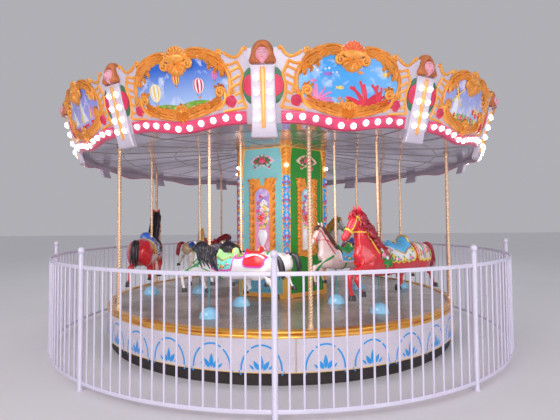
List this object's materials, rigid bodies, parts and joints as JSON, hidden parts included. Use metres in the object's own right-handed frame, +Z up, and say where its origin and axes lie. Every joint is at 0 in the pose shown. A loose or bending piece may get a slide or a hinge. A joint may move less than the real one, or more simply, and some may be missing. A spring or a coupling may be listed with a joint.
{
  "type": "fairground carousel",
  "caption": "Small fairground carousel with rising horses on poles, a carved crown with lamps, a hexagonal core and a white ring fence round a turning platform",
  "frame": {"origin": "centre of the platform's axis at floor level", "axes": "+Z up along the axis the platform turns about, -Y towards the front of the ride"},
  "size_m": [6.58, 6.6312, 3.262],
  "materials": {
    "dark_base": "matt dark brown paint, scuffed",
    "mast_steel": "plain steel tube",
    "white_steel": "white powder coat",
    "deck_plate": "worn checker plate",
    "gold_trim": "gold painted moulding",
    "skirt_board": "glossy ivory white with blue motifs",
    "rope_brass": "polished twisted tube",
    "gilt_frame": "gold painted carving",
    "green_board": "green paint",
    "teal_board": "teal paint",
    "polished_ceiling": "polished steel sheet",
    "roof_sheet": "plain off-white sheet",
    "crown_board": "white board with gold carving",
    "coat_white": "gloss painted fibreglass",
    "coat_red": "gloss painted fibreglass",
    "coat_cream": "gloss painted fibreglass"
  },
  "bodies": {
    "base": {"base_plinth": "dark_base", "centre_mast": "mast_steel", "fence_bay_1": "white_steel", "fence_bay_2": "white_steel", "fence_bay_3": "white_steel", "fence_bay_4": "white_steel", "fence_bay_5": "white_steel", "fence_bay_6": "white_steel", "fence_bay_7": "white_steel", "fence_bay_8": "white_steel", "fence_bay_9": "white_steel"},
    "turntable": {"deck": "deck_plate", "rim_trim": "gold_trim", "skirt_panel_1": "skirt_board", "skirt_panel_2": "skirt_board", "skirt_panel_3": "skirt_board", "skirt_panel_4": "skirt_board", "skirt_panel_5": "skirt_board", "skirt_panel_6": "skirt_board", "post_1": "rope_brass", "post_2": "rope_brass", "post_3": "rope_brass", "post_4": "rope_brass", "post_5": "rope_brass", "post_6": "rope_brass", "core_frame": "gilt_frame", "core_panel_1": "green_board", "core_panel_2": "teal_board", "core_panel_3": "green_board", "core_panel_4": "teal_board", "core_panel_5": "green_board", "core_panel_6": "teal_board", "ceiling": "polished_ceiling", "roof": "roof_sheet", "crown_bay_1": "crown_board", "crown_bay_2": "crown_board", "crown_bay_3": "crown_board", "crown_bay_4": "crown_board", "crown_bay_5": "crown_board", "crown_bay_6": "crown_board", "crown_bay_7": "crown_board", "crown_bay_8": "crown_board", "crown_bay_9": "crown_board", "crown_bay_10": "crown_board", "crown_bay_11": "crown_board", "crown_bay_12": "crown_board"},
    "outer_horse_1": {"horse_outer_1": "coat_white"},
    "inner_horse_1": {"horse_inner_1": "coat_white"},
    "outer_horse_2": {"horse_outer_2": "coat_red"},
    "inner_horse_2": {"horse_inner_2": "coat_white"},
    "outer_horse_3": {"horse_outer_3": "coat_cream"},
    "inner_horse_3": {"horse_inner_3": "coat_red"},
    "outer_horse_4": {"horse_outer_4": "coat_white"},
    "inner_horse_4": {"horse_inner_4": "coat_cream"},
    "outer_horse_5": {"horse_outer_5": "coat_cream"},
    "inner_horse_5": {"horse_inner_5": "coat_red"},
    "outer_horse_6": {"horse_outer_6": "coat_red"},
    "inner_horse_6": {"horse_inner_6": "coat_white"}
  },
  "joints": [
    {"name": "turntable_spin", "type": "hinge", "parent": "base", "child": "turntable", "pos_m": [0, 0, 0.3], "axis": [0, 0, 1], "continuous": true},
    {"name": "outer_horse_1_rise", "type": "slide", "parent": "turntable", "child": "outer_horse_1", "axis": [0, 0, 1], "range_m": [-0.115, 0.085]},
    {"name": "inner_horse_1_rise", "type": "slide", "parent": "turntable", "child": "inner_horse_1", "axis": [0, 0, 1], "range_m": [-0.085, 0.115]},
    {"name": "outer_horse_2_rise", "type": "slide", "parent": "turntable", "child": "outer_horse_2", "axis": [0, 0, 1], "range_m": [-0.09, 0.11]},
    {"name": "inner_horse_2_rise", "type": "slide", "parent": "turntable", "child": "inner_horse_2", "axis": [0, 0, 1], "range_m": [-0.11, 0.09]},
    {"name": "outer_horse_3_rise", "type": "slide", "parent": "turntable", "child": "outer_horse_3", "axis": [0, 0, 1], "range_m": [-0.06, 0.14]},
    {"name": "inner_horse_3_rise", "type": "slide", "parent": "turntable", "child": "inner_horse_3", "axis": [0, 0, 1], "range_m": [-0.14, 0.06]},
    {"name": "outer_horse_4_rise", "type": "slide", "parent": "turntable", "child": "outer_horse_4", "axis": [0, 0, 1], "range_m": [-0.08, 0.12]},
    {"name": "inner_horse_4_rise", "type": "slide", "parent": "turntable", "child": "inner_horse_4", "axis": [0, 0, 1], "range_m": [-0.12, 0.08]},
    {"name": "outer_horse_5_rise", "type": "slide", "parent": "turntable", "child": "outer_horse_5", "axis": [0, 0, 1], "range_m": [-0.125, 0.075]},
    {"name": "inner_horse_5_rise", "type": "slide", "parent": "turntable", "child": "inner_horse_5", "axis": [0, 0, 1], "range_m": [-0.075, 0.125]},
    {"name": "outer_horse_6_rise", "type": "slide", "parent": "turntable", "child": "outer_horse_6", "axis": [0, 0, 1], "range_m": [-0.145, 0.055]},
    {"name": "inner_horse_6_rise", "type": "slide", "parent": "turntable", "child": "inner_horse_6", "axis": [0, 0, 1], "range_m": [-0.055, 0.145]}
  ],
  "couplings": [
    {"joint": "inner_horse_1_rise", "follows": "outer_horse_1_rise", "ratio": -1},
    {"joint": "inner_horse_2_rise", "follows": "outer_horse_2_rise", "ratio": -1},
    {"joint": "inner_horse_3_rise", "follows": "outer_horse_3_rise", "ratio": -1},
    {"joint": "inner_horse_4_rise", "follows": "outer_horse_4_rise", "ratio": -1},
    {"joint": "inner_horse_5_rise", "follows": "outer_horse_5_rise", "ratio": -1},
    {"joint": "inner_horse_6_rise", "follows": "outer_horse_6_rise", "ratio": -1}
  ]
}
